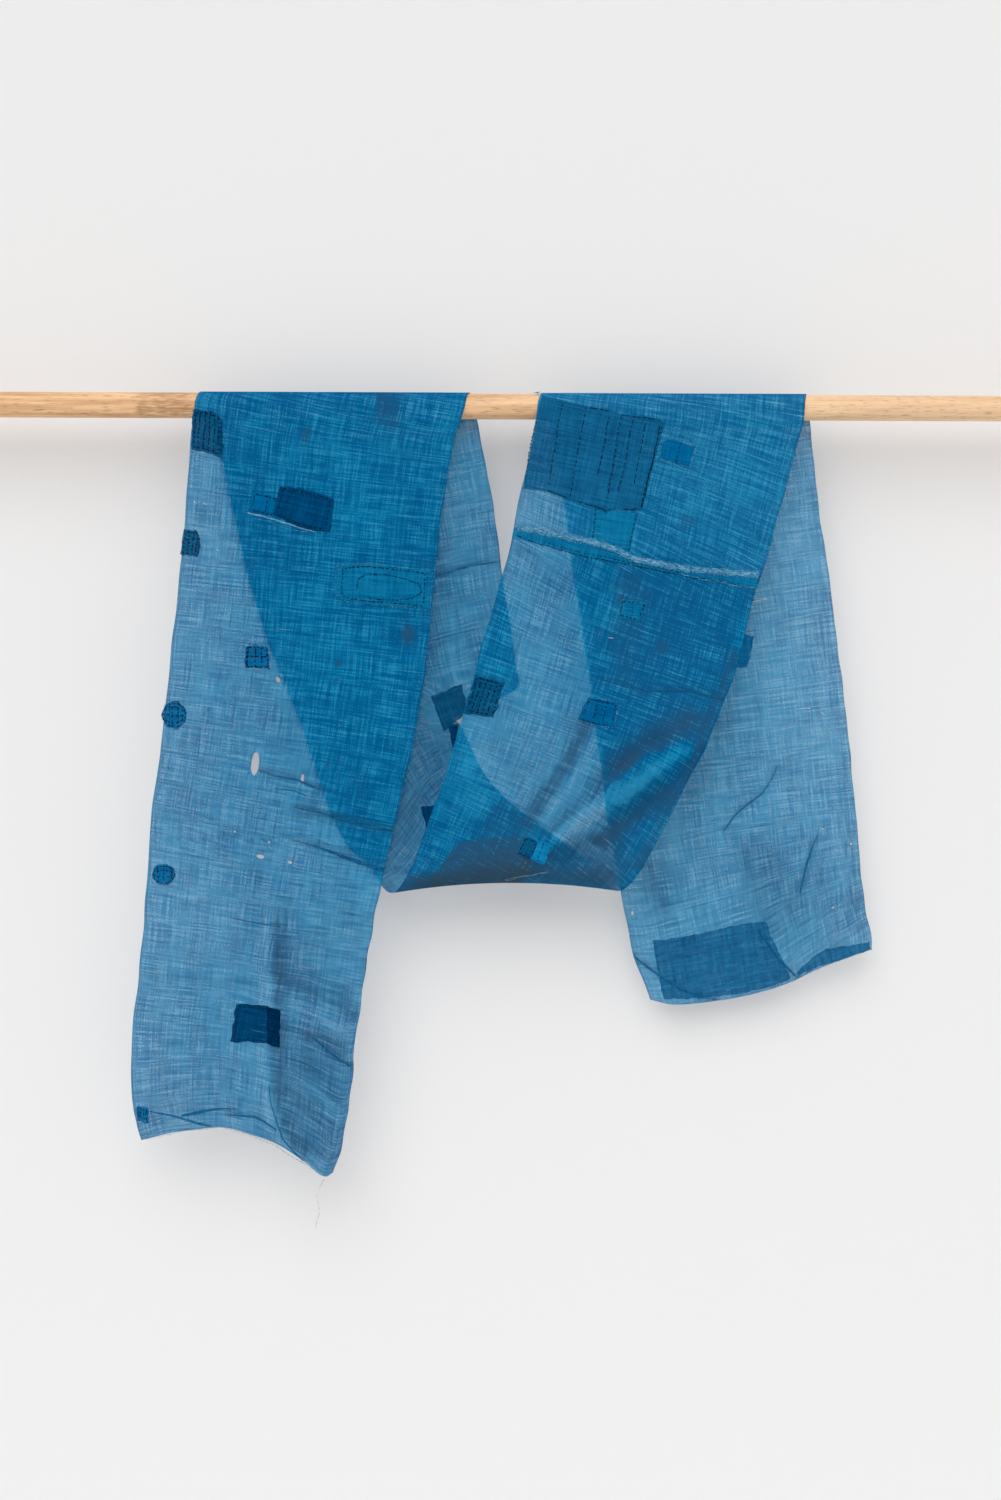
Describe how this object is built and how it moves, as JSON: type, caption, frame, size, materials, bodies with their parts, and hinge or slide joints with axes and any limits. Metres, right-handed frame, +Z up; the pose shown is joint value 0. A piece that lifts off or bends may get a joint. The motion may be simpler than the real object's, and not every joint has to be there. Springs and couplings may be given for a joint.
{
  "type": "boro patched cloth on a wooden rod",
  "caption": "Long narrow sheer indigo cloth, patched and mended by hand, thrown over a plain round wooden rod so that a loop and two tails hang down.",
  "frame": {"origin": "on the rod's axis, at the middle of its length", "axes": "+X along the rod to the right, +Y away from the side with the two front layers, +Z up"},
  "size_m": [1.46, 0.0982, 1.0467],
  "materials": {
    "wood": "pale smooth hardwood, oiled satin",
    "indigo_cloth": "sheer plain weave, indigo dyed, faded, patched and sewn by hand",
    "thread": "thin loose thread"
  },
  "bodies": {
    "root": {"rod": "wood", "cloth_long_length": "indigo_cloth", "cloth_short_length": "indigo_cloth", "loose_thread": "thread"}
  },
  "joints": []
}
